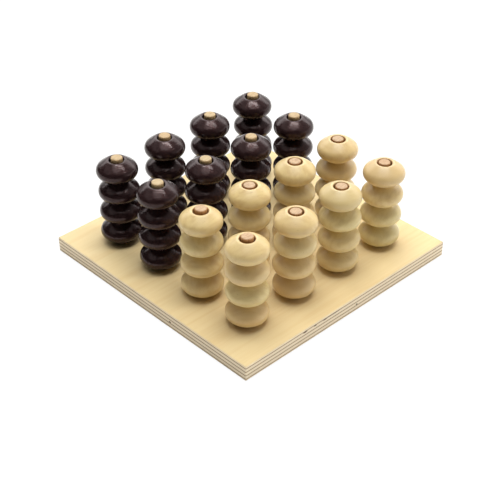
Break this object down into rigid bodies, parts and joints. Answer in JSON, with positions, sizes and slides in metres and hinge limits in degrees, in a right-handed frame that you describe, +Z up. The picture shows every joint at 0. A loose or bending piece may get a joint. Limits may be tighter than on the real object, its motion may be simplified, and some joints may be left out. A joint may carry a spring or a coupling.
{
  "type": "four in a row game",
  "caption": "Three-dimensional four in a row game: a square plywood pegboard with upright dowels that carry turned wooden beads, dark at the back and pale at the front.",
  "frame": {"origin": "centre of the board's underside", "axes": "+Z up along the pegs; X along the peg columns a to d; -Y towards the front edge, beside the pale beads"},
  "size_m": [0.2, 0.2, 0.0816],
  "materials": {
    "birch_plywood": "satin",
    "dowel": "matte",
    "pale_bead": "satin",
    "dark_bead": "gloss"
  },
  "bodies": {
    "board": {"board": "birch_plywood", "pegs": "dowel"},
    "dark_bead_a1_1": {"dark_bead_a1_1": "dark_bead"},
    "dark_bead_a1_2": {"dark_bead_a1_2": "dark_bead"},
    "dark_bead_a1_3": {"dark_bead_a1_3": "dark_bead"},
    "dark_bead_a1_4": {"dark_bead_a1_4": "dark_bead"},
    "dark_bead_pair_b1": {"dark_bead_pair_b1": "dark_bead"},
    "dark_bead_b1_3": {"dark_bead_b1_3": "dark_bead"},
    "dark_bead_b1_4": {"dark_bead_b1_4": "dark_bead"},
    "dark_bead_pair_c1": {"dark_bead_pair_c1": "dark_bead"},
    "dark_bead_c1_3": {"dark_bead_c1_3": "dark_bead"},
    "dark_bead_c1_4": {"dark_bead_c1_4": "dark_bead"},
    "dark_bead_pair_d1": {"dark_bead_pair_d1": "dark_bead"},
    "dark_bead_d1_3": {"dark_bead_d1_3": "dark_bead"},
    "dark_bead_d1_4": {"dark_bead_d1_4": "dark_bead"},
    "dark_bead_a2_1": {"dark_bead_a2_1": "dark_bead"},
    "dark_bead_a2_2": {"dark_bead_a2_2": "dark_bead"},
    "dark_bead_a2_3": {"dark_bead_a2_3": "dark_bead"},
    "dark_bead_a2_4": {"dark_bead_a2_4": "dark_bead"},
    "dark_bead_pair_b2": {"dark_bead_pair_b2": "dark_bead"},
    "dark_bead_b2_3": {"dark_bead_b2_3": "dark_bead"},
    "dark_bead_b2_4": {"dark_bead_b2_4": "dark_bead"},
    "dark_bead_pair_c2": {"dark_bead_pair_c2": "dark_bead"},
    "dark_bead_c2_3": {"dark_bead_c2_3": "dark_bead"},
    "dark_bead_c2_4": {"dark_bead_c2_4": "dark_bead"},
    "dark_bead_pair_d2": {"dark_bead_pair_d2": "dark_bead"},
    "dark_bead_d2_3": {"dark_bead_d2_3": "dark_bead"},
    "dark_bead_d2_4": {"dark_bead_d2_4": "dark_bead"},
    "pale_bead_a3_1": {"pale_bead_a3_1": "pale_bead"},
    "pale_bead_a3_2": {"pale_bead_a3_2": "pale_bead"},
    "pale_bead_a3_3": {"pale_bead_a3_3": "pale_bead"},
    "pale_bead_a3_4": {"pale_bead_a3_4": "pale_bead"},
    "pale_bead_b3_1": {"pale_bead_b3_1": "pale_bead"},
    "pale_bead_b3_2": {"pale_bead_b3_2": "pale_bead"},
    "pale_bead_b3_3": {"pale_bead_b3_3": "pale_bead"},
    "pale_bead_b3_4": {"pale_bead_b3_4": "pale_bead"},
    "pale_bead_c3_1": {"pale_bead_c3_1": "pale_bead"},
    "pale_bead_c3_2": {"pale_bead_c3_2": "pale_bead"},
    "pale_bead_c3_3": {"pale_bead_c3_3": "pale_bead"},
    "pale_bead_c3_4": {"pale_bead_c3_4": "pale_bead"},
    "pale_bead_d3_1": {"pale_bead_d3_1": "pale_bead"},
    "pale_bead_d3_2": {"pale_bead_d3_2": "pale_bead"},
    "pale_bead_d3_3": {"pale_bead_d3_3": "pale_bead"},
    "pale_bead_d3_4": {"pale_bead_d3_4": "pale_bead"},
    "pale_bead_a4_1": {"pale_bead_a4_1": "pale_bead"},
    "pale_bead_a4_2": {"pale_bead_a4_2": "pale_bead"},
    "pale_bead_a4_3": {"pale_bead_a4_3": "pale_bead"},
    "pale_bead_a4_4": {"pale_bead_a4_4": "pale_bead"},
    "pale_bead_b4_1": {"pale_bead_b4_1": "pale_bead"},
    "pale_bead_b4_2": {"pale_bead_b4_2": "pale_bead"},
    "pale_bead_b4_3": {"pale_bead_b4_3": "pale_bead"},
    "pale_bead_b4_4": {"pale_bead_b4_4": "pale_bead"},
    "pale_bead_c4_1": {"pale_bead_c4_1": "pale_bead"},
    "pale_bead_c4_2": {"pale_bead_c4_2": "pale_bead"},
    "pale_bead_c4_3": {"pale_bead_c4_3": "pale_bead"},
    "pale_bead_c4_4": {"pale_bead_c4_4": "pale_bead"},
    "pale_bead_d4_1": {"pale_bead_d4_1": "pale_bead"},
    "pale_bead_d4_2": {"pale_bead_d4_2": "pale_bead"},
    "pale_bead_d4_3": {"pale_bead_d4_3": "pale_bead"},
    "pale_bead_d4_4": {"pale_bead_d4_4": "pale_bead"}
  },
  "joints": [
    {"name": "lift_a1_1", "type": "slide", "parent": "board", "child": "dark_bead_a1_1", "axis": [0, 0, 1], "range_m": [0, 0.073]},
    {"name": "lift_a1_2", "type": "slide", "parent": "dark_bead_a1_1", "child": "dark_bead_a1_2", "axis": [0, 0, 1], "range_m": [0, 0.056]},
    {"name": "lift_a1_3", "type": "slide", "parent": "dark_bead_a1_2", "child": "dark_bead_a1_3", "axis": [0, 0, 1], "range_m": [0, 0.039]},
    {"name": "lift_a1_4", "type": "slide", "parent": "dark_bead_a1_3", "child": "dark_bead_a1_4", "axis": [0, 0, 1], "range_m": [0, 0.022]},
    {"name": "lift_b1_1", "type": "slide", "parent": "board", "child": "dark_bead_pair_b1", "axis": [0, 0, 1], "range_m": [0, 0.073]},
    {"name": "lift_b1_3", "type": "slide", "parent": "dark_bead_pair_b1", "child": "dark_bead_b1_3", "axis": [0, 0, 1], "range_m": [0, 0.039]},
    {"name": "lift_b1_4", "type": "slide", "parent": "dark_bead_b1_3", "child": "dark_bead_b1_4", "axis": [0, 0, 1], "range_m": [0, 0.022]},
    {"name": "lift_c1_1", "type": "slide", "parent": "board", "child": "dark_bead_pair_c1", "axis": [0, 0, 1], "range_m": [0, 0.073]},
    {"name": "lift_c1_3", "type": "slide", "parent": "dark_bead_pair_c1", "child": "dark_bead_c1_3", "axis": [0, 0, 1], "range_m": [0, 0.039]},
    {"name": "lift_c1_4", "type": "slide", "parent": "dark_bead_c1_3", "child": "dark_bead_c1_4", "axis": [0, 0, 1], "range_m": [0, 0.022]},
    {"name": "lift_d1_1", "type": "slide", "parent": "board", "child": "dark_bead_pair_d1", "axis": [0, 0, 1], "range_m": [0, 0.073]},
    {"name": "lift_d1_3", "type": "slide", "parent": "dark_bead_pair_d1", "child": "dark_bead_d1_3", "axis": [0, 0, 1], "range_m": [0, 0.039]},
    {"name": "lift_d1_4", "type": "slide", "parent": "dark_bead_d1_3", "child": "dark_bead_d1_4", "axis": [0, 0, 1], "range_m": [0, 0.022]},
    {"name": "lift_a2_1", "type": "slide", "parent": "board", "child": "dark_bead_a2_1", "axis": [0, 0, 1], "range_m": [0, 0.073]},
    {"name": "lift_a2_2", "type": "slide", "parent": "dark_bead_a2_1", "child": "dark_bead_a2_2", "axis": [0, 0, 1], "range_m": [0, 0.056]},
    {"name": "lift_a2_3", "type": "slide", "parent": "dark_bead_a2_2", "child": "dark_bead_a2_3", "axis": [0, 0, 1], "range_m": [0, 0.039]},
    {"name": "lift_a2_4", "type": "slide", "parent": "dark_bead_a2_3", "child": "dark_bead_a2_4", "axis": [0, 0, 1], "range_m": [0, 0.022]},
    {"name": "lift_b2_1", "type": "slide", "parent": "board", "child": "dark_bead_pair_b2", "axis": [0, 0, 1], "range_m": [0, 0.073]},
    {"name": "lift_b2_3", "type": "slide", "parent": "dark_bead_pair_b2", "child": "dark_bead_b2_3", "axis": [0, 0, 1], "range_m": [0, 0.039]},
    {"name": "lift_b2_4", "type": "slide", "parent": "dark_bead_b2_3", "child": "dark_bead_b2_4", "axis": [0, 0, 1], "range_m": [0, 0.022]},
    {"name": "lift_c2_1", "type": "slide", "parent": "board", "child": "dark_bead_pair_c2", "axis": [0, 0, 1], "range_m": [0, 0.073]},
    {"name": "lift_c2_3", "type": "slide", "parent": "dark_bead_pair_c2", "child": "dark_bead_c2_3", "axis": [0, 0, 1], "range_m": [0, 0.039]},
    {"name": "lift_c2_4", "type": "slide", "parent": "dark_bead_c2_3", "child": "dark_bead_c2_4", "axis": [0, 0, 1], "range_m": [0, 0.022]},
    {"name": "lift_d2_1", "type": "slide", "parent": "board", "child": "dark_bead_pair_d2", "axis": [0, 0, 1], "range_m": [0, 0.073]},
    {"name": "lift_d2_3", "type": "slide", "parent": "dark_bead_pair_d2", "child": "dark_bead_d2_3", "axis": [0, 0, 1], "range_m": [0, 0.039]},
    {"name": "lift_d2_4", "type": "slide", "parent": "dark_bead_d2_3", "child": "dark_bead_d2_4", "axis": [0, 0, 1], "range_m": [0, 0.022]},
    {"name": "lift_a3_1", "type": "slide", "parent": "board", "child": "pale_bead_a3_1", "axis": [0, 0, 1], "range_m": [0, 0.073]},
    {"name": "lift_a3_2", "type": "slide", "parent": "pale_bead_a3_1", "child": "pale_bead_a3_2", "axis": [0, 0, 1], "range_m": [0, 0.056]},
    {"name": "lift_a3_3", "type": "slide", "parent": "pale_bead_a3_2", "child": "pale_bead_a3_3", "axis": [0, 0, 1], "range_m": [0, 0.039]},
    {"name": "lift_a3_4", "type": "slide", "parent": "pale_bead_a3_3", "child": "pale_bead_a3_4", "axis": [0, 0, 1], "range_m": [0, 0.022]},
    {"name": "lift_b3_1", "type": "slide", "parent": "board", "child": "pale_bead_b3_1", "axis": [0, 0, 1], "range_m": [0, 0.071]},
    {"name": "lift_b3_2", "type": "slide", "parent": "pale_bead_b3_1", "child": "pale_bead_b3_2", "axis": [0, 0, 1], "range_m": [0, 0.054]},
    {"name": "lift_b3_3", "type": "slide", "parent": "pale_bead_b3_2", "child": "pale_bead_b3_3", "axis": [0, 0, 1], "range_m": [0, 0.037]},
    {"name": "lift_b3_4", "type": "slide", "parent": "pale_bead_b3_3", "child": "pale_bead_b3_4", "axis": [0, 0, 1], "range_m": [0, 0.02]},
    {"name": "lift_c3_1", "type": "slide", "parent": "board", "child": "pale_bead_c3_1", "axis": [0, 0, 1], "range_m": [0, 0.071]},
    {"name": "lift_c3_2", "type": "slide", "parent": "pale_bead_c3_1", "child": "pale_bead_c3_2", "axis": [0, 0, 1], "range_m": [0, 0.054]},
    {"name": "lift_c3_3", "type": "slide", "parent": "pale_bead_c3_2", "child": "pale_bead_c3_3", "axis": [0, 0, 1], "range_m": [0, 0.037]},
    {"name": "lift_c3_4", "type": "slide", "parent": "pale_bead_c3_3", "child": "pale_bead_c3_4", "axis": [0, 0, 1], "range_m": [0, 0.02]},
    {"name": "lift_d3_1", "type": "slide", "parent": "board", "child": "pale_bead_d3_1", "axis": [0, 0, 1], "range_m": [0, 0.071]},
    {"name": "lift_d3_2", "type": "slide", "parent": "pale_bead_d3_1", "child": "pale_bead_d3_2", "axis": [0, 0, 1], "range_m": [0, 0.054]},
    {"name": "lift_d3_3", "type": "slide", "parent": "pale_bead_d3_2", "child": "pale_bead_d3_3", "axis": [0, 0, 1], "range_m": [0, 0.037]},
    {"name": "lift_d3_4", "type": "slide", "parent": "pale_bead_d3_3", "child": "pale_bead_d3_4", "axis": [0, 0, 1], "range_m": [0, 0.02]},
    {"name": "lift_a4_1", "type": "slide", "parent": "board", "child": "pale_bead_a4_1", "axis": [0, 0, 1], "range_m": [0, 0.073]},
    {"name": "lift_a4_2", "type": "slide", "parent": "pale_bead_a4_1", "child": "pale_bead_a4_2", "axis": [0, 0, 1], "range_m": [0, 0.056]},
    {"name": "lift_a4_3", "type": "slide", "parent": "pale_bead_a4_2", "child": "pale_bead_a4_3", "axis": [0, 0, 1], "range_m": [0, 0.039]},
    {"name": "lift_a4_4", "type": "slide", "parent": "pale_bead_a4_3", "child": "pale_bead_a4_4", "axis": [0, 0, 1], "range_m": [0, 0.022]},
    {"name": "lift_b4_1", "type": "slide", "parent": "board", "child": "pale_bead_b4_1", "axis": [0, 0, 1], "range_m": [0, 0.071]},
    {"name": "lift_b4_2", "type": "slide", "parent": "pale_bead_b4_1", "child": "pale_bead_b4_2", "axis": [0, 0, 1], "range_m": [0, 0.054]},
    {"name": "lift_b4_3", "type": "slide", "parent": "pale_bead_b4_2", "child": "pale_bead_b4_3", "axis": [0, 0, 1], "range_m": [0, 0.037]},
    {"name": "lift_b4_4", "type": "slide", "parent": "pale_bead_b4_3", "child": "pale_bead_b4_4", "axis": [0, 0, 1], "range_m": [0, 0.02]},
    {"name": "lift_c4_1", "type": "slide", "parent": "board", "child": "pale_bead_c4_1", "axis": [0, 0, 1], "range_m": [0, 0.071]},
    {"name": "lift_c4_2", "type": "slide", "parent": "pale_bead_c4_1", "child": "pale_bead_c4_2", "axis": [0, 0, 1], "range_m": [0, 0.054]},
    {"name": "lift_c4_3", "type": "slide", "parent": "pale_bead_c4_2", "child": "pale_bead_c4_3", "axis": [0, 0, 1], "range_m": [0, 0.037]},
    {"name": "lift_c4_4", "type": "slide", "parent": "pale_bead_c4_3", "child": "pale_bead_c4_4", "axis": [0, 0, 1], "range_m": [0, 0.02]},
    {"name": "lift_d4_1", "type": "slide", "parent": "board", "child": "pale_bead_d4_1", "axis": [0, 0, 1], "range_m": [0, 0.071]},
    {"name": "lift_d4_2", "type": "slide", "parent": "pale_bead_d4_1", "child": "pale_bead_d4_2", "axis": [0, 0, 1], "range_m": [0, 0.054]},
    {"name": "lift_d4_3", "type": "slide", "parent": "pale_bead_d4_2", "child": "pale_bead_d4_3", "axis": [0, 0, 1], "range_m": [0, 0.037]},
    {"name": "lift_d4_4", "type": "slide", "parent": "pale_bead_d4_3", "child": "pale_bead_d4_4", "axis": [0, 0, 1], "range_m": [0, 0.02]}
  ]
}
